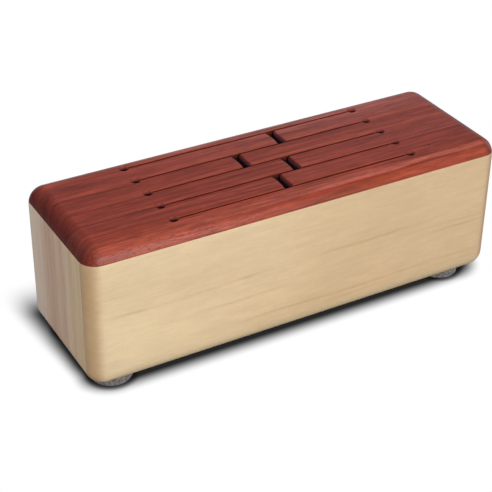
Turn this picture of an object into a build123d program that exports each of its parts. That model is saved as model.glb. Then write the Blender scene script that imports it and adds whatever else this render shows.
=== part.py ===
from build123d import *
import os

# Log drum with eight tongues: a padauk tone plate on a closed sound box of pale wood, on four felt feet.
# Millimetres. The origin is on the floor under the middle of the drum.
# +X runs along the tongues, to the player's right. -Y is the front. +Z is up.

# Outer form, rounded after glueing with one cutter along every edge
drum_length = 500.0
drum_width = 163.5
box_height = 150.0
plate_thickness = 15.0
edge_radius = 19.4

# Sound box
board_thickness = 16.0
end_thickness = 16.0
bottom_thickness = 12.0
tongue_joint_depth = 5.0
tongue_joint_width = 6.0
bottom_lip_width = 5.0
bottom_lip_height = 4.0
groove_end_gap = 0.3

# Slits and the holes that stop them from splitting on
slit_pitch = 29.2
slit_width = 2.6
hole_diameter = 10.0
hole_reach = 144.0

# Cross cuts, one in each lane between two slits, from the rear lane to the front one.
# The plate is glued up from two staves, and its slit on the glue line parts their lanes.
rear_stave_cuts = [35.0, -25.0, 19.5]
front_stave_cuts = [-8.3]
cross_cut_width = 7.2
left_tip_crown = 1.6
right_tip_crown = 0.6
tip_rounding = 2.5

# Tuning reliefs, a scoop under the root of each tongue, deeper under the long tongues
relief_setback = 30.0
relief_radius = 70.0
relief_depth_short = 2.5
relief_depth_long = 5.0

# Felt feet
foot_diameter = 45.0
foot_height = 10.0
foot_edge_break = 1.5
foot_inset_from_end = 39.5
foot_inset_from_side = 35.25
foot_row_shift = -4.0

# How far a cutting solid runs past the wood that it cuts
overcut = 1.0

# Places worked out from the sizes above
box_floor = foot_height
plate_underside = box_floor + box_height
plate_top = plate_underside + plate_thickness
inner_length = drum_length - 2 * end_thickness
inner_width = drum_width - 2 * board_thickness
cross_cut_places = rear_stave_cuts + front_stave_cuts
lane_count = len(cross_cut_places)
slit_places = [(lane_count / 2 - row) * slit_pitch for row in range(lane_count + 1)]
glue_line = slit_places[len(rear_stave_cuts)]
tongue_width = slit_pitch - slit_width


def block(x_range, y_range, z_range):
    """A box between two places on each axis."""
    (x0, x1), (y0, y1), (z0, z1) = x_range, y_range, z_range
    middle = ((x0 + x1) / 2, (y0 + y1) / 2, (z0 + z1) / 2)
    return Pos(*middle) * Box(x1 - x0, y1 - y0, z1 - z0)


def outer_form():
    """The whole drum without its cuts. Every board is the part of this form that lies in its own block."""
    height = box_height + plate_thickness
    form = Pos(0, 0, box_floor + height / 2) * Box(drum_length, drum_width, height)
    return fillet(form.edges(), edge_radius)


def long_slits():
    """The slits between the lanes, with a drilled hole at both ends of each."""
    cuts = []
    for y in slit_places:
        cuts.append(block(
            (-hole_reach, hole_reach),
            (y - slit_width / 2, y + slit_width / 2),
            (plate_underside - overcut, plate_top + overcut),
        ))
        for x in (-hole_reach, hole_reach):
            cuts.append(Pos(x, y, (plate_underside + plate_top) / 2) * Cylinder(
                hole_diameter / 2, plate_thickness + 2 * overcut))
    return cuts


def cross_cut(x, lane):
    """The gap between the tips of two tongues. Both tips are crowned towards each other."""
    rear, front = slit_places[lane], slit_places[lane + 1]
    middle = (rear + front) / 2
    left, right = x - cross_cut_width / 2, x + cross_cut_width / 2
    left_corner, right_corner = left - left_tip_crown, right + right_tip_crown
    with BuildSketch(Plane.XY.offset(plate_underside - overcut)) as gap:
        with BuildLine():
            ThreePointArc((left_corner, rear), (left, middle), (left_corner, front))
            Line((left_corner, front), (right_corner, front))
            ThreePointArc((right_corner, front), (right, middle), (right_corner, rear))
            Line((right_corner, rear), (left_corner, rear))
        make_face()
    return extrude(gap.sketch, plate_thickness + 2 * overcut)


def tuning_relief(x, side, lane):
    """The scoop under one tongue, across its root."""
    tongue_length = hole_reach - side * x
    shortest = hole_reach - max(abs(place) for place in cross_cut_places)
    longest = hole_reach + max(abs(place) for place in cross_cut_places)
    share = (tongue_length - shortest) / (longest - shortest)
    depth = relief_depth_short + share * (relief_depth_long - relief_depth_short)
    middle = (slit_places[lane] + slit_places[lane + 1]) / 2
    place = Pos(side * (hole_reach - relief_setback), middle, plate_underside + depth - relief_radius)
    return place * Rot(90, 0, 0) * Cylinder(relief_radius, tongue_width)


def tone_plate(form):
    """The top of the drum with its eight tongues, before it is parted along the glue line."""
    plate = form & block(
        (-drum_length, drum_length), (-drum_width, drum_width), (plate_underside, plate_top + overcut))
    plate = plate - long_slits()
    for lane, x in enumerate(cross_cut_places):
        plate = plate - cross_cut(x, lane)
    tips = [
        edge for edge in plate.edges().filter_by(GeomType.CIRCLE)
        if abs(edge.center().Z - plate_top) < 0.01 and edge.radius > hole_diameter
    ]
    plate = fillet(tips, tip_rounding)
    reliefs = [
        tuning_relief(x, side, lane) for lane, x in enumerate(cross_cut_places) for side in (-1, 1)]
    return plate - reliefs


def staves(plate):
    """The plate's two boards, which meet on the glue line."""
    z_range = (plate_underside - overcut, plate_top + overcut)
    rear = plate & block((-drum_length, drum_length), (glue_line, drum_width), z_range)
    front = plate & block((-drum_length, drum_length), (-drum_width, glue_line), z_range)
    return rear, front


def side_board(form, side):
    """The front board, side -1, or the rear one, side 1, with grooves for the boards let into it."""
    inner, outer = side * inner_width / 2, side * drum_width / 2
    board = form & block(
        (-drum_length, drum_length), sorted((inner, outer)), (box_floor - overcut, plate_underside))
    groove = sorted((inner, inner + side * (tongue_joint_depth + groove_end_gap)))
    for end in (-1, 1):
        cheek = end * inner_length / 2
        board = board - block(
            sorted((cheek, cheek + end * tongue_joint_width)), groove,
            (box_floor + bottom_thickness, plate_underside + overcut))
    lip = box_floor + bottom_lip_height
    return board - block((-inner_length / 2, inner_length / 2), groove, (lip, lip + bottom_lip_width))


def end_board(form, end):
    """The left board, end -1, or the right one, end 1, with a tongue along both upright sides."""
    inner, outer = end * inner_length / 2, end * drum_length / 2
    board = form & block(
        sorted((inner, outer)), (-inner_width / 2, inner_width / 2),
        (box_floor - overcut, plate_underside))
    reach = inner_width / 2 + tongue_joint_depth
    board = board + block(
        sorted((inner, inner + end * tongue_joint_width)), (-reach, reach),
        (box_floor + bottom_thickness, plate_underside))
    lip = box_floor + bottom_lip_height
    groove = sorted((inner, inner + end * (tongue_joint_depth + groove_end_gap)))
    return board - block(groove, (-inner_width / 2, inner_width / 2), (lip, lip + bottom_lip_width))


def bottom_board(form):
    """The closing board, level with the underside of the walls, with a lip on each side for their grooves."""
    board = form & block(
        (-inner_length / 2, inner_length / 2), (-inner_width / 2, inner_width / 2),
        (box_floor - overcut, box_floor + bottom_thickness))
    lip = (box_floor + bottom_lip_height, box_floor + bottom_lip_height + bottom_lip_width)
    reach_x = inner_length / 2 + tongue_joint_depth
    reach_y = inner_width / 2 + tongue_joint_depth
    board = board + block((-reach_x, reach_x), (-inner_width / 2, inner_width / 2), lip)
    return board + block((-inner_length / 2, inner_length / 2), (-reach_y, reach_y), lip)


def felt_foot(x, y):
    """One round felt pad, with its lower rim taken off."""
    pad = Pos(x, y, foot_height / 2) * Cylinder(foot_diameter / 2, foot_height)
    return chamfer(pad.edges().sort_by(Axis.Z)[0], foot_edge_break)


def build():
    form = outer_form()
    rear_stave, front_stave = staves(tone_plate(form))
    pieces = {
        "tone_plate_rear_stave": rear_stave,
        "tone_plate_front_stave": front_stave,
        "front_board": side_board(form, -1),
        "rear_board": side_board(form, 1),
        "left_end_board": end_board(form, -1),
        "right_end_board": end_board(form, 1),
        "bottom_board": bottom_board(form),
    }
    for depth_name, depth in (("front", -1), ("rear", 1)):
        for side_name, side in (("left", -1), ("right", 1)):
            x = side * (drum_length / 2 - foot_inset_from_end) + foot_row_shift
            y = depth * (drum_width / 2 - foot_inset_from_side)
            pieces[f"{depth_name}_{side_name}_foot"] = felt_foot(x, y)
    return pieces


os.makedirs("parts", exist_ok=True)
for name, piece in build().items():
    export_step(piece, f"parts/{name}.step")
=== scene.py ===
# Log drum: a padauk tone plate with eight tongues on a closed box of pale wood, on four felt feet.
# Metres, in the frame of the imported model. -Y is the front, +X the player's right, +Z up.
import bpy
from math import radians
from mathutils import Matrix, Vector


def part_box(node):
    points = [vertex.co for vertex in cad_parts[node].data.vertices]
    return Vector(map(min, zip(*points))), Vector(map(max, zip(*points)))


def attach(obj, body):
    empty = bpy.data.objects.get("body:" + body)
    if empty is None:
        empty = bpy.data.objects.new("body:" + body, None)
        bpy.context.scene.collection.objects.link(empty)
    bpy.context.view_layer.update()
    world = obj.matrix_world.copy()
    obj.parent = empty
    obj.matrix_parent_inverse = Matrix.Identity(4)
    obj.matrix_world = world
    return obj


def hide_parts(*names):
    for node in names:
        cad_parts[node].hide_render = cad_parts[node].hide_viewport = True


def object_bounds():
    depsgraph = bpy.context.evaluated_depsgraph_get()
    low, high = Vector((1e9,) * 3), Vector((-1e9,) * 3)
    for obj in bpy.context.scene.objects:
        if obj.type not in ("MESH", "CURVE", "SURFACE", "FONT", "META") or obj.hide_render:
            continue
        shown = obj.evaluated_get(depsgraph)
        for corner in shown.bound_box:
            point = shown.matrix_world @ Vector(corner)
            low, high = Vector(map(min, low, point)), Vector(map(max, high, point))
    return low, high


print("Loading the packed drum")
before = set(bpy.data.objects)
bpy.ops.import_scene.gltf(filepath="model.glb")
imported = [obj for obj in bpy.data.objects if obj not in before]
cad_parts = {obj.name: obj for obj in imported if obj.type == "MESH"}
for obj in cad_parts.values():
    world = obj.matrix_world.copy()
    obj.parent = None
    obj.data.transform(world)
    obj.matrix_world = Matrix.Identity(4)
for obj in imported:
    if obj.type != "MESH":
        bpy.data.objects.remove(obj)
cadBox = [list(corner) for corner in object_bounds()]
mm = 0.001
sharpAngle = radians(35)  # edges that bend by more stay sharp
flatFaceWeight = 90


# Small helpers for modelling, each one step as it is done by hand

def clearSelection():
    bpy.ops.object.select_all(action="DESELECT")


def makeActive(piece):
    clearSelection()
    piece.select_set(True)
    bpy.context.view_layer.objects.active = piece


def addBlock(name, low, high):
    clearSelection()
    middle = [(a + b) / 2 for a, b in zip(low, high)]
    bpy.ops.mesh.primitive_cube_add(size=1, location=middle)
    block = bpy.context.object
    block.name = name
    block.scale = [b - a for a, b in zip(low, high)]
    bpy.ops.object.transform_apply(location=True, rotation=True, scale=True)
    return block


def addRod(name, middle, radius, length, sides, turn=(0, 0, 0)):
    clearSelection()
    bpy.ops.mesh.primitive_cylinder_add(
        vertices=sides, radius=radius, depth=length, location=middle, rotation=turn)
    rod = bpy.context.object
    rod.name = name
    bpy.ops.object.transform_apply(location=True, rotation=True, scale=True)
    return rod


def copyOf(piece, name):
    makeActive(piece)
    bpy.ops.object.duplicate()
    twin = bpy.context.object
    twin.name = name
    return twin


def openMesh(piece, what="EDGE"):
    makeActive(piece)
    bpy.ops.object.mode_set(mode="EDIT")
    bpy.ops.mesh.select_mode(type=what)


def closeMesh():
    bpy.ops.object.mode_set(mode="OBJECT")


def pickEdges(piece, wanted):
    # Opens the mesh with only those edges selected whose two ends and bend the rule accepts
    openMesh(piece)
    bpy.ops.mesh.select_all(action="DESELECT")
    closeMesh()
    mesh = piece.data
    facesAt = {}
    for face in mesh.polygons:
        for key in face.edge_keys:
            facesAt.setdefault(key, []).append(face.normal)
    for edge in mesh.edges:
        sides = facesAt.get(edge.key, [])
        bend = sides[0].angle(sides[1]) if len(sides) == 2 else 0
        edge.select = wanted(*(mesh.vertices[i].co for i in edge.vertices), bend)
    bpy.ops.object.mode_set(mode="EDIT")


def roundEdges(piece, wanted, radius, steps):
    pickEdges(piece, wanted)
    bpy.ops.mesh.bevel(offset=radius, segments=steps, profile=0.5, affect="EDGES",
                       clamp_overlap=False)
    closeMesh()


def sliceOff(piece, place, away):
    # Cuts the piece at a place, drops the side that "away" points to and closes the cut
    openMesh(piece)
    bpy.ops.mesh.select_all(action="SELECT")
    bpy.ops.mesh.bisect(plane_co=place, plane_no=away, use_fill=True, clear_outer=True)
    closeMesh()


def carve(piece, cutter, union=False):
    makeActive(piece)
    step = piece.modifiers.new("Carve", "BOOLEAN")
    step.operation = "UNION" if union else "DIFFERENCE"
    step.solver = "EXACT"
    step.object = cutter
    bpy.ops.object.modifier_apply(modifier=step.name)
    bpy.data.objects.remove(cutter)


def smoothAll(piece):
    makeActive(piece)
    bpy.ops.object.shade_smooth_by_angle(angle=sharpAngle)
    step = piece.modifiers.new("Flat faces stay flat", "WEIGHTED_NORMAL")
    step.keep_sharp = True
    step.weight = flatFaceWeight
    bpy.ops.object.modifier_apply(modifier=step.name)


# Small helpers for materials: each adds one node, or a few, and returns what comes out of it

def feed(tree, socket, value):
    if isinstance(value, bpy.types.NodeSocket):
        tree.links.new(value, socket)
    else:
        socket.default_value = value


def sums(tree, kind, *values, clamp=False):
    node = tree.nodes.new("ShaderNodeMath")
    node.operation, node.use_clamp = kind, clamp
    for socket, value in zip(node.inputs, values):
        feed(tree, socket, value)
    return node.outputs[0]


def product(tree, *values):
    total = values[0]
    for value in values[1:]:
        total = sums(tree, "MULTIPLY", total, value)
    return total


def offFrom(tree, value, place):
    # How far a value lies from a place, to either side
    return sums(tree, "ABSOLUTE", sums(tree, "SUBTRACT", value, place))


def farFrom(tree, x, y):
    # The straight distance that two distances at a right angle make
    return sums(tree, "SQRT", sums(tree, "MULTIPLY_ADD", x, x, sums(tree, "POWER", y, 2.0)))


def fade(tree, value, start, end, low=0.0, high=1.0):
    node = tree.nodes.new("ShaderNodeMapRange")
    node.interpolation_type = "SMOOTHSTEP"
    for socket, number in zip(node.inputs, (value, start, end, low, high)):
        feed(tree, socket, number)
    return node.outputs[0]


def fader(tree, fades):
    # A short way to add the fades that a dictionary names
    return lambda value, name: fade(tree, value, *fades[name])


def cloud(tree, vector, layer, shift=(0, 0, 0)):
    # One layer of noise: its fineness along each axis, its detail and its roughness
    fineness, detail, rough = layer
    place = tree.nodes.new("ShaderNodeMapping")
    feed(tree, place.inputs["Vector"], vector)
    place.inputs["Location"].default_value = shift
    place.inputs["Scale"].default_value = fineness
    node = tree.nodes.new("ShaderNodeTexNoise")
    feed(tree, node.inputs["Vector"], place.outputs[0])
    node.inputs["Scale"].default_value = 1.0
    node.inputs["Detail"].default_value = detail
    node.inputs["Roughness"].default_value = rough
    return node.outputs[0]


def centred(tree, noise, width):
    # Noise that sways to both sides of nothing
    return sums(tree, "MULTIPLY", sums(tree, "SUBTRACT", noise, 0.5), width)


def colourOf(hexText):
    # A colour as a web colour, turned into Blender's linear values
    parts = [int(hexText[i:i + 2], 16) / 255 for i in (0, 2, 4)]
    return [c / 12.92 if c <= 0.04045 else ((c + 0.055) / 1.055) ** 2.4 for c in parts] + [1.0]


def mixed(tree, factor, first, second, mode="MIX"):
    # Colours may be web colours
    node = tree.nodes.new("ShaderNodeMix")
    node.data_type, node.blend_type = "RGBA", mode
    feed(tree, node.inputs[0], factor)
    for socket, tone in ((node.inputs[6], first), (node.inputs[7], second)):
        feed(tree, socket, colourOf(tone) if isinstance(tone, str) else tone)
    return node.outputs[2]


def uneven(tree, tone, noise, span, amount, factor=1.0):
    # Makes a tone darker and lighter by noise
    shade = fade(tree, noise, *span, 1 - amount, 1 + amount)
    return mixed(tree, factor, tone, shade, "MULTIPLY")


def toneRamp(tree, factor, stops):
    node = tree.nodes.new("ShaderNodeValToRGB")
    ramp = node.color_ramp
    while len(ramp.elements) < len(stops):
        ramp.elements.new(0.5)
    for element, (place, tone) in zip(ramp.elements, stops):
        element.position = place
        element.color = colourOf(tone)
    feed(tree, node.inputs[0], factor)
    return node.outputs[0]


def newMaterial(name):
    # Returns with it the place in mm, as a vector and as x, y and z, and the way the surface faces
    material = bpy.data.materials.new(name)
    material.use_nodes = True
    tree = material.node_tree
    shader = tree.nodes["Principled BSDF"]
    place = tree.nodes.new("ShaderNodeTexCoord")
    inMm = tree.nodes.new("ShaderNodeVectorMath")
    inMm.operation = "SCALE"
    tree.links.new(place.outputs["Object"], inMm.inputs[0])
    inMm.inputs["Scale"].default_value = 1 / mm
    split = tree.nodes.new("ShaderNodeSeparateXYZ")
    tree.links.new(inMm.outputs[0], split.inputs[0])
    facing = tree.nodes.new("ShaderNodeSeparateXYZ")
    tree.links.new(place.outputs["Normal"], facing.inputs[0])
    return material, tree, shader, inMm.outputs[0], split.outputs, facing.outputs


def addBump(tree, shader, height, distance, strength):
    bump = tree.nodes.new("ShaderNodeBump")
    bump.inputs["Strength"].default_value = strength
    bump.inputs["Distance"].default_value = distance
    feed(tree, bump.inputs["Height"], height)
    tree.links.new(bump.outputs[0], shader.inputs["Normal"])


def dress(piece, material):
    piece.data.materials.clear()
    piece.data.materials.append(material)


# Where things are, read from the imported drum. Its rounding starts below the tone plate, so the
# outline is the whole drum's and not the plate's.
drumLow, drumHigh = cadBox
plateLow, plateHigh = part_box("tone_plate_rear_stave")
plateUnderside, plateTop = plateLow[2], plateHigh[2]
glueLine = plateLow[1]
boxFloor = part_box("front_board")[0][2]
jointDepth = 5 * mm  # how far the bottom board's lip reaches into the side boards
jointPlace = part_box("bottom_board")[1][1] - jointDepth

tonePlate = {
    "edgeRadius": 19.4 * mm,
    "arcSteps": 24,
    "slitPitch": 29.2 * mm,
    "slitWidth": 2.6 * mm,
    "holeRadius": 5 * mm,
    "holeReach": 144 * mm,
    "holeSides": 64,
    "crossCuts": [35.0 * mm, -25.0 * mm, 19.5 * mm, -8.3 * mm],
    "crossCutWidth": 7.2 * mm,
    "leftTipCrown": 1.6 * mm,
    "rightTipCrown": 0.6 * mm,
    "crownSides": 720,
    "tipRounding": 2.5 * mm,
    "tipSteps": 8,
    "edgeBreak": 0.35 * mm,
    "breakSteps": 3,
    "reliefSetback": 30 * mm,
    "reliefRadius": 70 * mm,
    "reliefSides": 180,
    "reliefDepth": (2.5 * mm, 5.0 * mm),  # under the shortest tongue and the longest one
    "slitOvercut": 1 * mm,
    "gapOvercut": 5 * mm,
    # What tells the edges of tips and rims from others: how high and how near, and their bend
    "slack": 0.1 * mm,
    "rimMargin": 1 * mm,
    "levelWithin": 2 * mm,
    "tipBend": radians(60),
    "rimBend": radians(50),
    "weld": 0.003 * mm,
}
# The slits from the rear one to the front one. The lanes of tongues lie between them.
slitPlaces = [(2 - row) * tonePlate["slitPitch"] for row in range(5)]
lanes = list(zip(tonePlate["crossCuts"], slitPlaces, slitPlaces[1:]))


def outerForm():
    # The drum's outside as one block, rounded on all twelve edges
    form = addBlock("outerForm", (drumLow[0], drumLow[1], boxFloor), drumHigh)
    roundEdges(form, lambda a, b, bend: True, tonePlate["edgeRadius"], tonePlate["arcSteps"])
    return form


def crossCutter(x, rear, front):
    # The gap between two tongue tips: a block with a large round taken off each side, so that
    # both tips are crowned
    t = tonePlate
    left, right = x - t["crossCutWidth"] / 2, x + t["crossCutWidth"] / 2
    low, high = plateUnderside - t["gapOvercut"], plateTop + t["gapOvercut"]
    gap = addBlock("gap", (left - t["leftTipCrown"], front, low),
                   (right + t["rightTipCrown"], rear, high))
    for edge, side, crown in ((left, -1, t["leftTipCrown"]), (right, 1, t["rightTipCrown"])):
        radius = (rear - front) ** 2 / (8 * crown) + crown / 2
        middle = (edge + side * radius, (rear + front) / 2, (low + high) / 2)
        carve(gap, addRod("crown", middle, radius, 2 * (high - low), t["crownSides"]))
    return gap


def cutTonePlate(plate):
    t = tonePlate
    low, high = plateUnderside - t["slitOvercut"], plateTop + t["slitOvercut"]
    for y in slitPlaces:
        slit = addBlock("slit", (-t["holeReach"], y - t["slitWidth"] / 2, low),
                        (t["holeReach"], y + t["slitWidth"] / 2, high))
        for x in (-t["holeReach"], t["holeReach"]):
            middle = (x, y, (low + high) / 2)
            hole = addRod("hole", middle, t["holeRadius"], high - low, t["holeSides"])
            carve(slit, hole, union=True)
        carve(plate, slit)
    for x, rear, front in lanes:
        carve(plate, crossCutter(x, rear, front))


def scoopReliefs(plate):
    # A scoop across the root of each tongue from below, deeper under the long ones, where the
    # drum is tuned. The cutter reaches to the middle of the slits on both sides.
    t = tonePlate
    furthest = max(abs(x) for x in t["crossCuts"])
    shallow, deep = t["reliefDepth"]
    for x, rear, front in lanes:
        for side in (-1, 1):
            share = (furthest - side * x) / (2 * furthest)
            depth = shallow + share * (deep - shallow)
            middle = (side * (t["holeReach"] - t["reliefSetback"]), (rear + front) / 2,
                      plateUnderside + depth - t["reliefRadius"])
            carve(plate, addRod("scoop", middle, t["reliefRadius"], rear - front,
                                t["reliefSides"], (radians(90), 0, 0)))


def roundTips(plate):
    t = tonePlate
    half = t["crossCutWidth"] / 2 + max(t["leftTipCrown"], t["rightTipCrown"]) + t["slack"]

    def onTip(a, b, bend):
        top = min(a.z, b.z) > plateTop - t["slack"] / 10
        across = abs(a.x - b.x) < abs(a.y - b.y)
        nearCut = any(abs(a.x - x) < half and abs(b.x - x) < half for x in t["crossCuts"])
        return top and across and nearCut and bend > t["tipBend"]
    roundEdges(plate, onTip, t["tipRounding"], t["tipSteps"])


def breakEdges(plate):
    # The rims of the holes, slits and gaps, but not the upright edges
    t = tonePlate
    lowest = plateTop - t["tipRounding"] - t["slack"]
    margin = t["holeRadius"] + t["rimMargin"]
    reachX, reachY = t["holeReach"] + margin, slitPlaces[0] + margin

    def onRim(a, b, bend):
        inside = max(abs(a.x), abs(b.x)) < reachX and max(abs(a.y), abs(b.y)) < reachY
        level = abs(a.z - b.z) < t["levelWithin"]
        return min(a.z, b.z) > lowest and inside and level and bend > t["rimBend"]
    roundEdges(plate, onRim, t["edgeBreak"], t["breakSteps"])


def makeStaves():
    print("Tone plate: the rounded form, its slits, holes, tips and softened edges")
    plate = outerForm()
    sliceOff(plate, (0, 0, plateUnderside), (0, 0, -1))
    cutTonePlate(plate)
    roundTips(plate)
    breakEdges(plate)
    scoopReliefs(plate)
    rear, front = copyOf(plate, "rearStave"), copyOf(plate, "frontStave")
    sliceOff(rear, (0, glueLine, 0), (0, -1, 0))
    sliceOff(front, (0, glueLine, 0), (0, 1, 0))
    bpy.data.objects.remove(plate)
    for stave, node in ((rear, "tone_plate_rear_stave"), (front, "tone_plate_front_stave")):
        openMesh(stave, "VERT")
        bpy.ops.mesh.select_all(action="SELECT")
        bpy.ops.mesh.remove_doubles(threshold=tonePlate["weld"])
        closeMesh()
        smoothAll(stave)
        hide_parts(node)
        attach(stave, "root")
    return rear, front


# In the dictionaries of the woods, a layer of noise has its fineness per mm along each axis, its
# detail and its roughness. A fade has the place or value where a change starts and the one where
# it ends, in mm where it is a place, and may have its strength at both.
padauk = {
    "tones": {
        "dark": "953a2b", "brown": "a2432f", "red": "ae4a36", "orange": "c05a42",
        "rose": "ba6150", "ember": "9e4020", "flame": "b04a2f",
    },
    "rootTone": "a5442c",
    "evenTone": "b3503f",
    "pinkSheenTone": "c26d61",
    "plainTone": "9e3e2b",
    "salmonTone": "b65c48",
    "poreTone": "3a1512",
    "dashTone": "6e2a20",
    # Tones of the walls inside the cuts: partly their sawn tone, partly painted shade, and for the
    # holes also painted light
    "slitTone": "6e2718",
    "cutTone": "80505a",
    "holeTone": "ac5751",
    "gapShade": (0.02, 0.008, 0.008, 1),
    "deepShade": (0.02, 0.008, 0.006, 1),
    "oilTint": (0.95, 0.90, 0.86, 1),
    "oilTintLeft": (0.98, 0.82, 0.72, 1),
    "endGrain": (0.34, 0.17, 0.15, 1),
    # How strongly each thing shows
    "wander": 4.0,
    "ripple": 1.4,
    "streaks": 0.24,
    "veins": 0.55,
    "grain": 0.3,
    "fibre": 0.25,
    "pores": 0.45,
    "evenShare": 0.5,
    "plainShare": 0.75,
    "salmonShare": 0.78,
    "orangeShare": 0.6,
    "dashShare": 0.7,
    "slitShare": 0.9,
    "gapShare": 0.4,
    "holeShare": 0.85,
    "deepShare": 0.8,
    "endCalm": -0.65,
    "endPower": 0.8,
    "roughness": 0.42,
    "roughSway": 0.2,
    "fibreHeight": 0.5,
    "specular": 0.4,
    "fleck": (174, -51.5),
    "fleckSlant": -0.6,
    "bump": (0.06 * mm, 0.35),
    "noise": {
        "drift": ((0.004, 0.008, 0.008), 2, 0.5),
        "ripple": ((0.018, 0.05, 0.05), 2, 0.5),
        "streaks": ((1.0, 1.0, 1.0), 4, 0.65),
        "veins": ((0.8, 1.4, 1.0), 3, 0.6),
        "grain": ((0.03, 0.3, 0.3), 4, 0.75),
        "fibre": ((0.012, 0.8, 0.8), 5, 0.7),
        "pores": ((0.14, 2.2, 2.2), 1, 0.5),
        "dashes": ((0.2, 0.9, 0.9), 2, 0.5),
    },
    "streakFineness": (0.005, 0.3),  # along the drum and across the rings
    "streakSpan": (0.3, 0.7),
    "grainSpan": (0.25, 0.75),
    "fibreSpan": (0.3, 0.7),
    "fades": {
        "rootLeft": (-120, -190, 0.0, 0.55),
        "toRight": (-20, 200),
        "onTop": (173.4, 174.6),
        # Where the top turns pinker: partly a painted sheen
        "pinkRight": (-190, 120, 0.15, 1.0),
        "pinkRear": (20, 64, 0.0, 0.7),
        "salmonLeft": (30, -150),
        "salmonBelow": (175.0, 173.2),
        "orangeRight": (90, 180),
        "orangeBelow": (173.5, 170.5),
        "orangeAbove": (163.5, 168),
        "vein": (0.03, 0.0),
        "pore": (0.62, 0.74),
        "dash": (0.57, 0.64),
        "dashLeft": (0, -100),
        "dashBelow": (171.5, 169),
        "fleck": (2.0, 0.8, 0.0, 0.65),
        "glue": (1.1, 0.5, 0.0, 0.8),
        "oilLeft": (60, -140),
        "upright": (0.4, 0.1),
        "crosswise": (0.4, 0.8),
        "cutsAcross": (66, 65),
        "gapAlong": (9, 6),
        "gapAcross": (1.0, 0.5),
        "slitDepth": (1.5, 6.0),
        "holeDepth": (2.0, 4.4),
    },
}
# Each stave's grain: the heart of the tree that its rings run round, as y and z in mm, and the
# tones across the plate by the place, in mm, where a ring meets the top
staveGrain = {
    "rear": {
        "heart": (130, 15),
        "seed": 2.0,
        "rings": [
            (-30, "brown"), (-27, "red"), (-24, "red"), (-20, "brown"), (-16, "red"),
            (-11, "dark"), (-7, "brown"), (-2, "red"), (2, "red"), (5, "orange"), (8, "red"),
            (10.5, "brown"), (15, "red"), (20, "brown"), (28, "brown"), (33, "orange"),
            (37, "red"), (41, "brown"), (43.5, "dark"), (46, "dark"), (49, "red"), (54, "red"),
            (58, "brown"), (63, "orange"), (80, "red"),
        ],
    },
    "front": {
        "heart": (-1, 136),
        "seed": 9.0,
        "rings": [
            (-76, "ember"), (-73.7, "ember"), (-73.1, "dark"), (-72.2, "dark"), (-71.6, "rose"),
            (-68, "rose"), (-62, "flame"), (-58, "flame"), (-53, "flame"), (-48, "red"),
            (-36, "red"), (-33, "brown"), (-20, "brown"),
        ],
    },
}


def ringTone(tree, place, at, grain):
    # The tone by the distance from the heart of the tree, a little wavy along the drum. Returns
    # the distance too.
    p, noise, seed = padauk, padauk["noise"], grain["seed"]
    heartY, heartZ = grain["heart"]
    drift = cloud(tree, place, noise["drift"], (seed, seed, 0))
    ripple = cloud(tree, place, noise["ripple"], (0, seed, seed))
    wander = sums(tree, "ADD", centred(tree, drift, p["wander"]),
                  centred(tree, ripple, p["ripple"]))
    fromHeart = farFrom(tree, sums(tree, "SUBTRACT", at[1], heartY),
                        sums(tree, "SUBTRACT", at[2], heartZ))
    ring = sums(tree, "ADD", fromHeart, wander)

    def ringAt(y):
        return ((y - heartY) ** 2 + (plateTop / mm - heartZ) ** 2) ** 0.5
    rings = sorted((ringAt(y), p["tones"][tone]) for y, tone in grain["rings"])
    first, last = rings[0][0], rings[-1][0]
    share = sums(tree, "DIVIDE", sums(tree, "SUBTRACT", ring, first), last - first, clamp=True)
    stops = [((r - first) / (last - first), tone) for r, tone in rings]
    return toneRamp(tree, share, stops), ring


def placeTone(tree, tone, at, stave):
    # The roots of the tongues at the left are plainer and browner, and the rear and right of the
    # top are paler and pinker, partly the wood's tone and partly a painted sheen
    p, by = padauk, fader(tree, padauk["fades"])
    tone = mixed(tree, by(at[0], "rootLeft"), tone, p["rootTone"])
    toRight = product(tree, by(at[0], "toRight"), by(at[2], "onTop"))
    if stave == "rear":
        tone = mixed(tree, product(tree, toRight, p["evenShare"]), tone, p["evenTone"])
        # Painted sheen, with the wood's own pink: paler and pinker towards the rear and the right
        pinkerSheen = product(tree, by(at[0], "pinkRight"), by(at[1], "pinkRear"))
        return mixed(tree, pinkerSheen, tone, p["pinkSheenTone"])
    tone = mixed(tree, product(tree, toRight, p["plainShare"]), tone, p["plainTone"])
    # Pinker at the left of the front rounding, more orange at its right
    paler = product(tree, by(at[0], "salmonLeft"), by(at[2], "salmonBelow"), p["salmonShare"])
    tone = mixed(tree, paler, tone, p["salmonTone"])
    fiery = product(tree, by(at[0], "orangeRight"), by(at[2], "orangeBelow"),
                    by(at[2], "orangeAbove"), p["orangeShare"])
    return mixed(tree, fiery, tone, p["tones"]["orange"])


def frontMarks(tree, tone, place, at, seed):
    # Longer open pores where the front rounding cuts the grain at a slant, and one small dark
    # fleck on top
    p, by = padauk, fader(tree, padauk["fades"])
    dashes = cloud(tree, place, p["noise"]["dashes"], (4.0, 0, seed))
    where = product(tree, by(dashes, "dash"), by(at[0], "dashLeft"), by(at[2], "dashBelow"),
                    p["dashShare"])
    tone = mixed(tree, where, tone, p["dashTone"])
    offX = sums(tree, "SUBTRACT", at[0], p["fleck"][0])
    offY = sums(tree, "SUBTRACT", at[1], p["fleck"][1])
    offY = sums(tree, "MULTIPLY_ADD", offX, p["fleckSlant"], offY)
    return mixed(tree, by(farFrom(tree, offX, offY), "fleck"), tone, p["poreTone"])


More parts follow.
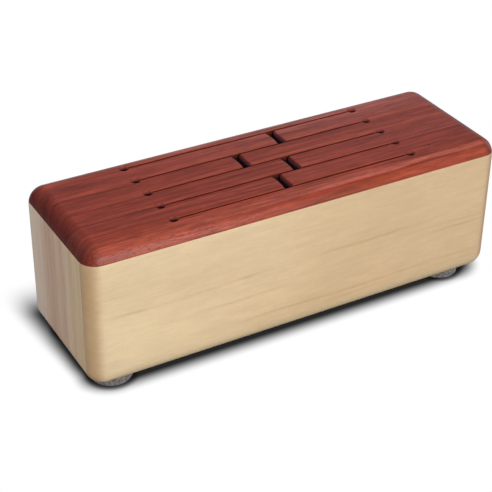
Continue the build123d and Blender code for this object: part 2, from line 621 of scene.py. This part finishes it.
def sawnToneAndShade(tree, tone, at, facing):
    # Painted shade with some of the sawn wood's own tone: the walls of the slits and gaps are
    # painted dark, the tip ends purple-grey and the far wall of each gap near black. The hole
    # walls are a paler pink, which also stands in for the light on their upper part. Deeper in,
    # all of them are painted darker, as shade.
    p, by = padauk, fader(tree, padauk["fades"])
    radius = tonePlate["holeRadius"] / mm
    slitEnd, holeEnd = tonePlate["holeReach"] / mm - radius, tonePlate["holeReach"] / mm + radius
    offMiddle = sums(tree, "ABSOLUTE", at[0])
    walls = product(tree, by(facing[2], "upright"),
                    by(sums(tree, "ABSOLUTE", at[1]), "cutsAcross"))
    inside = product(tree, walls, fade(tree, offMiddle, slitEnd, slitEnd - 1.0))
    tone = mixed(tree, product(tree, inside, p["slitShare"]), tone, p["slitTone"])
    crosswise = by(sums(tree, "ABSOLUTE", facing[0]), "crosswise")
    tone = mixed(tree, product(tree, inside, crosswise), tone, p["cutTone"])
    for x, rear, front in lanes:
        farWall = (rear + tonePlate["slitWidth"] / 2) / mm
        # Painted shade: the far wall of each gap goes near black
        gapWallShade = product(tree, inside, by(offFrom(tree, at[0], x / mm), "gapAlong"),
                          by(offFrom(tree, at[1], farWall), "gapAcross"), p["gapShare"])
        tone = mixed(tree, gapWallShade, tone, p["gapShade"])
    # The hole walls: a paler pink, partly a painted light on their upper part
    around = product(tree, walls, fade(tree, offMiddle, holeEnd + 2.0, holeEnd + 1.0))
    inHole = product(tree, around, fade(tree, offMiddle, slitEnd - 1.0, slitEnd))
    tone = mixed(tree, product(tree, inHole, p["holeShare"]), tone, p["holeTone"])
    # Painted shade deeper in the slits and holes
    inSlit = sums(tree, "SUBTRACT", 1.0, inHole)
    below = sums(tree, "SUBTRACT", plateTop / mm, at[2])
    depth = sums(tree, "MAXIMUM", product(tree, inHole, by(below, "holeDepth")),
                 product(tree, inSlit, by(below, "slitDepth")))
    return mixed(tree, product(tree, depth, around, p["deepShare"]), tone, p["deepShade"])


def padaukMaterial(name, stave):
    material, tree, shader, place, at, facing = newMaterial(name)
    p, noise, by = padauk, padauk["noise"], fader(tree, padauk["fades"])
    seed = staveGrain[stave]["seed"]
    tone, ring = ringTone(tree, place, at, staveGrain[stave])
    tone = placeTone(tree, tone, at, stave)
    # Streaks and thin dark veins that follow the rings, then grain and fibre, which are calmer
    # on the end grain, and open pores as short dark dashes
    endOn = sums(tree, "POWER", sums(tree, "ABSOLUTE", facing[0]), p["endPower"])
    calm = sums(tree, "MULTIPLY_ADD", endOn, p["endCalm"], 1.0)
    along = tree.nodes.new("ShaderNodeCombineXYZ")
    for socket, value, fineness in zip(along.inputs, (at[0], ring), p["streakFineness"]):
        feed(tree, socket, sums(tree, "MULTIPLY", value, fineness))
    streaks = cloud(tree, along.outputs[0], noise["streaks"])
    tone = uneven(tree, tone, streaks, p["streakSpan"], p["streaks"])
    veins = cloud(tree, along.outputs[0], noise["veins"], (seed, 3.0, 0))
    vein = by(offFrom(tree, veins, 0.5), "vein")
    tone = mixed(tree, product(tree, vein, p["veins"]), tone, p["tones"]["dark"])
    grain = cloud(tree, place, noise["grain"], (0, 0, seed))
    tone = uneven(tree, tone, grain, p["grainSpan"], p["grain"], calm)
    fibre = cloud(tree, place, noise["fibre"], (seed, 0, 0))
    tone = uneven(tree, tone, fibre, p["fibreSpan"], p["fibre"], calm)
    pore = by(cloud(tree, place, noise["pores"], (0, seed, 0)), "pore")
    tone = mixed(tree, product(tree, pore, p["pores"]), tone, p["poreTone"])
    if stave == "front":
        tone = frontMarks(tree, tone, place, at, seed)
    # The glue line between the two staves
    tone = mixed(tree, by(offFrom(tree, at[1], glueLine / mm), "glue"), tone, p["dashTone"])
    tint = mixed(tree, by(at[0], "oilLeft"), p["oilTint"], p["oilTintLeft"])
    tone = mixed(tree, 1.0, tone, tint, "MULTIPLY")
    # End grain drinks more oil and is darker
    tone = mixed(tree, endOn, tone, mixed(tree, 1.0, tone, p["endGrain"], "MULTIPLY"))
    feed(tree, shader.inputs["Base Color"], sawnToneAndShade(tree, tone, at, facing))
    roughness = sums(tree, "ADD", centred(tree, fibre, p["roughSway"]), p["roughness"])
    feed(tree, shader.inputs["Roughness"], roughness)
    shader.inputs["Specular IOR Level"].default_value = p["specular"]
    height = sums(tree, "SUBTRACT", product(tree, fibre, p["fibreHeight"]), pore)
    addBump(tree, shader, height, *p["bump"])
    return material


paleWood = {
    "light": "e3caa0",
    "warm": "d2b48b",
    "upright": "e6c6a5",
    "rose": "d0a88b",
    "pale": "f2dfc5",
    "straw": "e3c595",
    "streak": "ab8450",
    "endTone": (0.76, 0.64, 0.54, 1),
    "jointTone": "8d7255",
    "speck": "6e5238",
    # How strongly each thing shows
    "warmBroad": 1.2,
    "warmMottle": 0.3,
    "warmLines": 0.7,
    "grain": 0.055,
    "endLines": 0.14,
    "fine": 0.16,
    "rays": 0.1,
    "specks": 0.5,
    # How much the painted light makes the long boards paler low down
    "lowLight": 0.06,
    "jointShare": 0.7,
    "roughness": 0.42,
    "roughSway": 0.16,
    "specular": 0.5,
    "bump": (0.04 * mm, 0.4),
    "speckFineness": 0.05,
    # Noise as for the padauk, but with one fineness along the grain and one across it
    "noise": {
        "broad": (0.005, 0.012, 3, 0.5),
        "mottle": (0.02, 0.05, 3, 0.6),
        "lines": (0.003, 0.22, 4, 0.6),
        "fine": (0.02, 1.1, 4, 0.7),
        "patches": (0.014, 0.08, 3, 0.5),
        "longGrain": (0.03, 0.14, 4, 0.75),
        "uprightGrain": (0.012, 0.4, 4, 0.75),
        "rays": (0.35, 0.5, 3, 0.7),
    },
    "grainSpan": (0.25, 0.75),
    "fades": {
        "warmRight": (-230, 130, -0.1, 0.85),
        "coolLow": (12, 36, 0.2, 1.0),
        "uprightLines": (0.35, 0.65),
        "paleRear": (20, 65, 0.0, 0.75),
        "strawFront": (5, -60, 0.0, 0.75),
        "darkLines": (0.55, 0.8, 0.0, 0.14),
        "patches": (0.3, 0.6),
        "speck": (0.03, 0.015),
        "lowDown": (120, 45),
        "overEdge": (22, 42),
        "pastCorner": (-238, -205),
        "roundToEnd": (0.1, 0.75),
        "joint": (0.5, 0.1),
        "jointAtEnds": (232, 236),
    },
    "bandSway": 12.0,
    "strawBandsBefore": -30,
    "streakSway": 14.0,
    "streakEnds": (15, 25),  # how far the end of a streak fades, beyond its place and before it
    # Faint darker streaks on the front board: height, left end, right end, half thickness, all
    # in mm, and strength
    "frontStreaks": [
        (120, -235, -90, 3.0, 0.16), (96, -225, -50, 3.6, 0.30), (97, 5, 190, 3.0, 0.30),
        (80.5, 150, 240, 1.8, 0.36), (63, 175, 245, 2.0, 0.26), (43, -80, 235, 3.0, 0.26),
        (36, 20, 130, 2.4, 0.18), (108, 60, 220, 4.0, 0.14), (70, -180, -20, 3.2, 0.16),
        (134, -60, 120, 3.5, 0.10), (87, 120, 235, 2.2, 0.22),
    ],
    # Darker and lighter upright bands on the end boards: place across, half width, and strength,
    # less than 0 if light
    "endBands": [
        (12, 16, 0.3), (-17, 4.5, 0.5), (-41, 3.5, 0.35), (-28, 8, -0.3), (-55, 6, -0.45),
        (40, 10, -0.2),
    ],
}


def endBoardTone(tree, tone, at, broad):
    # Paler towards the rear and more yellow towards the front, with upright bands
    w, by = paleWood, fader(tree, paleWood["fades"])
    tone = mixed(tree, by(at[1], "paleRear"), tone, w["pale"])
    tone = mixed(tree, by(at[1], "strawFront"), tone, w["straw"])
    sway = sums(tree, "ADD", centred(tree, broad, w["bandSway"]), at[1])
    for middle, half, strength in w["endBands"]:
        light = w["straw"] if middle < w["strawBandsBefore"] else w["pale"]
        band = fade(tree, offFrom(tree, sway, middle), half, 0.0, 0.0, abs(strength))
        tone = mixed(tree, band, tone, w["rose"] if strength > 0 else light)
    return tone


def streakedTone(tree, tone, at, broad, patchy, streaks):
    w = paleWood
    height = sums(tree, "ADD", at[2], centred(tree, broad, w["streakSway"]))
    beyond, before = w["streakEnds"]
    for middle, left, right, half, strength in streaks:
        mark = product(tree, fade(tree, offFrom(tree, height, middle), half, 0.0),
                       fade(tree, at[0], left - beyond, left + before),
                       fade(tree, at[0], right + beyond, right - before), patchy, strength)
        tone = mixed(tree, mark, tone, w["streak"])
    return tone


def paleWoodMaterial(name, along, seed, streaks=()):
    # "along" is the axis that the grain runs on: 0 for the long boards, 2 for the upright ends
    material, tree, shader, place, at, facing = newMaterial(name)
    w, by = paleWood, fader(tree, paleWood["fades"])

    def layer(name, shift):
        lengthwise, crosswise, detail, rough = w["noise"][name]
        fineness = [crosswise] * 3
        fineness[along] = lengthwise
        return cloud(tree, place, (fineness, detail, rough), shift)
    broad = layer("broad", (seed, 0, seed))
    mottle = layer("mottle", (seed, seed, 0))
    lines = layer("lines", (0, seed, seed))
    fine = layer("fine", (seed, seed, 0))
    warmth = sums(tree, "ADD", centred(tree, broad, w["warmBroad"]),
                  product(tree, mottle, w["warmMottle"]))
    if along == 0:
        warmth = sums(tree, "ADD", warmth, by(at[0], "warmRight"), clamp=True)
        warmth = product(tree, warmth, by(at[2], "coolLow"))
        tone = mixed(tree, warmth, w["light"], w["warm"])
    else:
        lined = by(lines, "uprightLines")
        warmth = sums(tree, "MULTIPLY_ADD", lined, w["warmLines"], warmth, clamp=True)
        tone = mixed(tree, warmth, w["upright"], w["rose"])
        tone = endBoardTone(tree, tone, at, broad)
    tone = mixed(tree, by(lines, "darkLines"), tone, w["streak"])
    patchy = by(layer("patches", (seed, 0, 0)), "patches")
    tone = streakedTone(tree, tone, at, broad, patchy, streaks)
    grain = layer("longGrain" if along == 0 else "uprightGrain", (seed, 0, 0))
    tone = uneven(tree, tone, grain, w["grainSpan"], w["grain"] if along == 0 else w["endLines"])
    for noise, share in ((fine, w["fine"]), (layer("rays", (0, 0, seed)), w["rays"])):
        shade = sums(tree, "ADD", centred(tree, noise, share), 1.0)
        tone = mixed(tree, 1.0, tone, shade, "MULTIPLY")
    specks = tree.nodes.new("ShaderNodeTexVoronoi")
    feed(tree, specks.inputs["Vector"], place)
    specks.inputs["Scale"].default_value = w["speckFineness"]
    speck = by(specks.outputs["Distance"], "speck")
    tone = mixed(tree, product(tree, speck, w["specks"]), tone, w["speck"])
    if along == 0:
        # A little paler low down, a painted light, and darker where the rounding turns to the end
        # grain
        paler = product(tree, by(at[2], "lowDown"), by(at[2], "overEdge"),
                        by(at[0], "pastCorner"))
        shade = sums(tree, "MULTIPLY_ADD", paler, w["lowLight"], 1.0)
        tone = mixed(tree, 1.0, tone, shade, "MULTIPLY")
        endOn = by(sums(tree, "ABSOLUTE", facing[0]), "roundToEnd")
        tone = mixed(tree, endOn, tone, mixed(tree, 1.0, tone, w["endTone"], "MULTIPLY"))
    # A hair line of glue shows where the end boards are let in between the long ones
    offJoint = offFrom(tree, sums(tree, "ABSOLUTE", at[1]), jointPlace / mm)
    joint = product(tree, by(offJoint, "joint"),
                    by(sums(tree, "ABSOLUTE", at[0]), "jointAtEnds"), w["jointShare"])
    tone = mixed(tree, joint, tone, w["jointTone"])
    feed(tree, shader.inputs["Base Color"], tone)
    roughness = sums(tree, "ADD", centred(tree, fine, w["roughSway"]), w["roughness"])
    feed(tree, shader.inputs["Roughness"], roughness)
    shader.inputs["Specular IOR Level"].default_value = w["specular"]
    addBump(tree, shader, fine, *w["bump"])
    return material


def dressBox():
    print("Box: pale wood on the packed boards")
    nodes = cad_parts
    frontWood = paleWoodMaterial("paleWoodFront", 0, 3.0, paleWood["frontStreaks"])
    dress(nodes["front_board"], frontWood)
    dress(nodes["rear_board"], paleWoodMaterial("paleWoodRear", 0, 5.0))
    dress(nodes["bottom_board"], paleWoodMaterial("paleWoodBottom", 0, 7.0))
    dress(nodes["left_end_board"], paleWoodMaterial("paleWoodLeftEnd", 2, 8.0))
    dress(nodes["right_end_board"], paleWoodMaterial("paleWoodRightEnd", 2, 11.0))


felt = {
    "grey": "958e8a",
    "dark": "5b524f",
    "brown": "75605c",
    "light": "cbc6c0",
    "roughness": 0.95,
    "specular": 0.1,
    "sheen": 0.4,
    "bump": (0.5 * mm, 0.9),
    "noise": {
        "clumps": ((0.35, 0.35, 0.35), 4, 0.7),
        "flecks": ((0.5, 0.5, 0.9), 3, 0.7),
        "hairs": ((2.0, 2.0, 4.4), 5, 0.8),
    },
    "fades": {
        "clumps": (0.38, 0.6),
        "flecks": (0.52, 0.66, 0.0, 0.7),
        "hairs": (0.5, 0.72, 0.0, 0.85),
        # Painted light on the faces turned down
        "underside": (-0.15, -0.6, 0.0, 0.7),
    },
    "sides": 128,
    "rings": 8,
    "rimRadius": 1.2 * mm,
    "rimSteps": 4,
    "rimBend": radians(60),
    "margin": 1 * mm,
    "slack": 0.1 * mm,
    "unevenness": 0.35 * mm,
    "lumpSize": 3 * mm,
}


def feltMaterial():
    material, tree, shader, place, _, facing = newMaterial("felt")
    noise, by = felt["noise"], fader(tree, felt["fades"])
    clumps = cloud(tree, place, noise["clumps"])
    flecks = cloud(tree, place, noise["flecks"], (3, 5, 7))
    hairs = cloud(tree, place, noise["hairs"], (2, 4, 6))
    tone = mixed(tree, by(clumps, "clumps"), felt["dark"], felt["grey"])
    tone = mixed(tree, by(flecks, "flecks"), tone, felt["brown"])
    tone = mixed(tree, by(hairs, "hairs"), tone, felt["light"])
    # Painted light: paler where the pad faces down, as if lit from the white floor
    tone = mixed(tree, by(facing[2], "underside"), tone, felt["light"])
    feed(tree, shader.inputs["Base Color"], tone)
    shader.inputs["Roughness"].default_value = felt["roughness"]
    shader.inputs["Specular IOR Level"].default_value = felt["specular"]
    shader.inputs["Sheen Weight"].default_value = felt["sheen"]
    addBump(tree, shader, hairs, *felt["bump"])
    return material


def makePad(name, low, high):
    # A round pad cut from thick pressed felt: rings up its side, soft rims and an uneven wall
    f = felt
    middle, radius = (low + high) / 2, (high.x - low.x) / 2
    pad = addRod(name, middle, radius, high.z - low.z, f["sides"])
    roundEdges(pad, lambda a, b, bend: bend > f["rimBend"], f["rimRadius"], f["rimSteps"])
    pickEdges(pad, lambda a, b, bend: abs(a.z - b.z) > f["margin"])
    bpy.ops.mesh.subdivide(number_cuts=f["rings"])
    closeMesh()
    texture = bpy.data.textures.new(name, "CLOUDS")
    texture.noise_scale = f["lumpSize"]
    makeActive(pad)
    wall = pad.vertex_groups.new(name="wall")
    reach = radius - f["rimRadius"] - f["slack"]
    lowest, highest = low.z + f["margin"], high.z - f["margin"]
    onWall = [v.index for v in pad.data.vertices
              if (v.co.xy - middle.xy).length > reach and lowest < v.co.z < highest]
    wall.add(onWall, 1.0, "REPLACE")
    step = pad.modifiers.new("Uneven wall", "DISPLACE")
    step.texture, step.vertex_group, step.texture_coords = texture, "wall", "LOCAL"
    step.mid_level, step.strength = 1.0, f["unevenness"]
    bpy.ops.object.modifier_apply(modifier=step.name)
    smoothAll(pad)
    return pad


def makeFeet():
    print("Feet: four felt pads")
    material = feltMaterial()
    for node in ("front_left_foot", "front_right_foot", "rear_left_foot", "rear_right_foot"):
        pad = makePad(node.replace("foot", "felt_pad"), *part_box(node))
        dress(pad, material)
        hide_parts(node)
        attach(pad, "root")


# In the dictionaries of the studio, a fade has its start, its end and the strength at both
studio = {
    "frontLamp": {"place": (0.0, -1.7, 0.8), "size": 0.9, "watts": 19.7},
    "topLamp": {"place": (0.0, -0.5, 1.9), "size": 1.0, "watts": 1},
    "surround": 0.34,
    "surroundTint": (0.95, 0.98, 1.08, 1),
    "overheadGloss": (0.02, 0.45, 1.0, 0.08),
    "leftGloss": (-0.4, 0.2, 0.04, 1.0),
    "lowDown": (0.6, 0.1, 1.7, 3.3),
    "towardsRear": (-0.1, 0.7, 1.0),
    "towardsLeft": (0.1, -0.7, 1.0, 1.3),
    "cameraPlace": (-0.6537, -1.0982, 0.8815),
    "cameraTurn": (57.4686, -0.5407, -29.3748),
    "sensorWidth": 36,
    "lens": 99.35,
    "clip": (0.01, 100),
}
studioFloor = {
    "size": 12,
    # The contact shadow: a rectangle with rounded corners, its reach to the ends and the front
    "reach": (217 * mm, 40 * mm),
    "corner": 23 * mm,
    "shift": 2 * mm,
    "width": 24 * mm,
    "dark": 0.015,
    # Along the ends its edge starts sharp and grows softer towards the rear
    "laterFrom": (-40 * mm, -15 * mm, 0.0, 1.5 * mm),
    "laterTo": (60 * mm, 20 * mm),
    "sharper": (-60 * mm, -35 * mm, 0.0, -4 * mm),
    "softer": (-30 * mm, 110 * mm, 0.0, 14 * mm),
    "castBehind": (87 * mm, 162 * mm, 1.0, 0.0),
    "contactAhead": (10 * mm, 60 * mm, 0.015, 1.0),
    "contactBehind": (80 * mm, 160 * mm, 0.015, 1.0),
    "footShade": (1 * mm, 9.5 * mm, 0.22, 1.0),
    # What the drum mirrors of the floor
    "gloss": 0.22,
    "glossFrom": (30 * mm, 150 * mm),
    "glossTo": (900 * mm, 500 * mm),
    "glossLeft": (-275 * mm, -230 * mm),
    "bounce": (0.0, 90 * mm, 0.1, 0.75),
}


def addLamp(name, place, size, watts):
    clearSelection()
    bpy.ops.object.light_add(type="AREA", location=place)
    lamp = bpy.context.object
    lamp.name = name
    lamp.data.shape = "SQUARE"
    lamp.data.size = size
    lamp.data.energy = watts
    lamp.rotation_euler = (-lamp.location).to_track_quat("-Z", "Y").to_euler()


def lightStudio():
    print("Studio: soft lamps and a pale surround")
    for name in ("frontLamp", "topLamp"):
        addLamp(name, **studio[name])
    world = bpy.data.worlds.new("studioWorld")
    bpy.context.scene.world = world
    world.use_nodes = True
    tree = world.node_tree
    sky, by = tree.nodes["Background"], fader(tree, studio)
    path = tree.nodes.new("ShaderNodeLightPath").outputs
    seen = sums(tree, "ADD", path["Is Camera Ray"], path["Is Transmission Ray"], clamp=True)
    direction = tree.nodes.new("ShaderNodeTexCoord")
    towards = tree.nodes.new("ShaderNodeSeparateXYZ")
    tree.links.new(direction.outputs["Generated"], towards.inputs[0])
    x, y, z = towards.outputs
    glossy = product(tree, by(z, "overheadGloss"), by(x, "leftGloss"), path["Is Glossy Ray"])
    rearLight = fade(tree, y, *studio["towardsRear"], by(z, "lowDown"))
    plain = product(tree, sums(tree, "SUBTRACT", 1.0, path["Is Glossy Ray"]),
                    studio["surround"], rearLight, by(x, "towardsLeft"))
    strength = sums(tree, "MAXIMUM", seen, sums(tree, "ADD", glossy, plain))
    feed(tree, sky.inputs["Strength"], strength)
    feed(tree, sky.inputs["Color"], mixed(tree, seen, studio["surroundTint"], (1, 1, 1, 1)))


def offNearestFoot(tree, x, y):
    # How far a place on the floor lies outside the nearest foot
    low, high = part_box("front_left_foot")[0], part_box("rear_right_foot")[1]
    radius = (high.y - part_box("rear_right_foot")[0].y) / 2
    middle, reach = (low.x + high.x) / 2, (high.x - low.x) / 2 - radius
    offX = sums(tree, "SUBTRACT", offFrom(tree, x, middle), reach)
    offY = sums(tree, "SUBTRACT", sums(tree, "ABSOLUTE", y), high.y - radius)
    return sums(tree, "SUBTRACT", farFrom(tree, offX, offY), radius)


def floorMaterial():
    f = studioFloor
    material = bpy.data.materials.new("studioFloor")
    material.use_nodes = True
    tree, by = material.node_tree, fader(material.node_tree, f)
    tree.nodes.clear()
    out = tree.nodes.new("ShaderNodeOutputMaterial")
    place = tree.nodes.new("ShaderNodeTexCoord")
    at = tree.nodes.new("ShaderNodeSeparateXYZ")
    tree.links.new(place.outputs["Object"], at.inputs[0])
    x, y = at.outputs[0], at.outputs[1]
    # In front and at the ends the floor goes from the dark contact quickly to white, in a shape
    # with rounded corners, and behind the drum the shadow reaches further
    side = sums(tree, "SUBTRACT", offFrom(tree, x, f["shift"]), f["reach"][0])
    ahead = sums(tree, "SUBTRACT", sums(tree, "MULTIPLY", y, -1.0), f["reach"][1])
    outside = farFrom(tree, sums(tree, "MAXIMUM", side, 0.0), sums(tree, "MAXIMUM", ahead, 0.0))
    away = sums(tree, "SUBTRACT", outside, f["corner"])
    later = product(tree, by(y, "laterFrom"), by(y, "laterTo"))
    width = sums(tree, "ADD", sums(tree, "ADD", by(y, "sharper"), by(y, "softer")), f["width"])
    edge = fade(tree, sums(tree, "SUBTRACT", away, later), 0.0, width, f["dark"], 1.0)
    shadow = product(tree, sums(tree, "SUBTRACT", 1.0, edge), by(y, "castBehind"))
    around = sums(tree, "SUBTRACT", 1.0, shadow)
    nearFoot = by(offNearestFoot(tree, x, y), "footShade")
    # Near the drum the floor's own colour is also painted dark: a painted contact shadow beside
    # the one the lamps cast
    shaded = tree.nodes.new("ShaderNodeBsdfDiffuse")
    contact = sums(tree, "MAXIMUM", by(away, "contactAhead"), by(y, "contactBehind"))
    feed(tree, shaded.inputs["Color"], contact)
    # What the drum mirrors of the floor is dim, but for the floor a little way behind it
    path = tree.nodes.new("ShaderNodeLightPath").outputs
    mirrored = product(tree, by(y, "glossFrom"), by(y, "glossTo"), by(x, "glossLeft"))
    mirrored = sums(tree, "MULTIPLY_ADD", mirrored, 1 - f["gloss"], f["gloss"])
    white = tree.nodes.new("ShaderNodeEmission")
    feed(tree, white.inputs["Strength"],
         fade(tree, path["Is Glossy Ray"], 0.0, 1.0, 1.0, mirrored))
    bounce = tree.nodes.new("ShaderNodeBsdfDiffuse")
    farOff = sums(tree, "MAXIMUM", away, sums(tree, "SUBTRACT", y, f["castBehind"][0]))
    feed(tree, bounce.inputs["Color"], by(farOff, "bounce"))
    # The shadow and the white floor are seen, and the bounce lights the drum
    seen = sums(tree, "ADD", path["Is Camera Ray"], path["Is Glossy Ray"], clamp=True)
    shown = tree.nodes.new("ShaderNodeMixShader")
    pick = tree.nodes.new("ShaderNodeMixShader")
    feed(tree, shown.inputs[0], sums(tree, "MULTIPLY", around, nearFoot))
    feed(tree, pick.inputs[0], seen)
    for source, target in ((shaded, shown.inputs[1]), (white, shown.inputs[2]),
                           (bounce, pick.inputs[1]), (shown, pick.inputs[2]),
                           (pick, out.inputs["Surface"])):
        tree.links.new(source.outputs[0], target)
    return material


def makeFloor():
    print("Studio: the white floor with the drum's shadow")
    clearSelection()
    bpy.ops.mesh.primitive_plane_add(size=studioFloor["size"], location=(0, 0, 0))
    floor = bpy.context.object
    floor.name = "studioFloor"
    dress(floor, floorMaterial())


def placeCamera():
    print("Studio: the camera")
    clearSelection()
    bpy.ops.object.camera_add(location=studio["cameraPlace"],
                              rotation=[radians(a) for a in studio["cameraTurn"]])
    camera = bpy.context.object
    camera.name = "photoCamera"
    camera.data.sensor_width = studio["sensorWidth"]
    camera.data.lens = studio["lens"]
    camera.data.clip_start, camera.data.clip_end = studio["clip"]
    bpy.context.scene.camera = camera
    bpy.context.scene.view_settings.view_transform = "Standard"


rearStave, frontStave = makeStaves()
dress(rearStave, padaukMaterial("padaukRear", "rear"))
dress(frontStave, padaukMaterial("padaukFront", "front"))
dressBox()
makeFeet()
lightStudio()
makeFloor()
placeCamera()

print("Done")
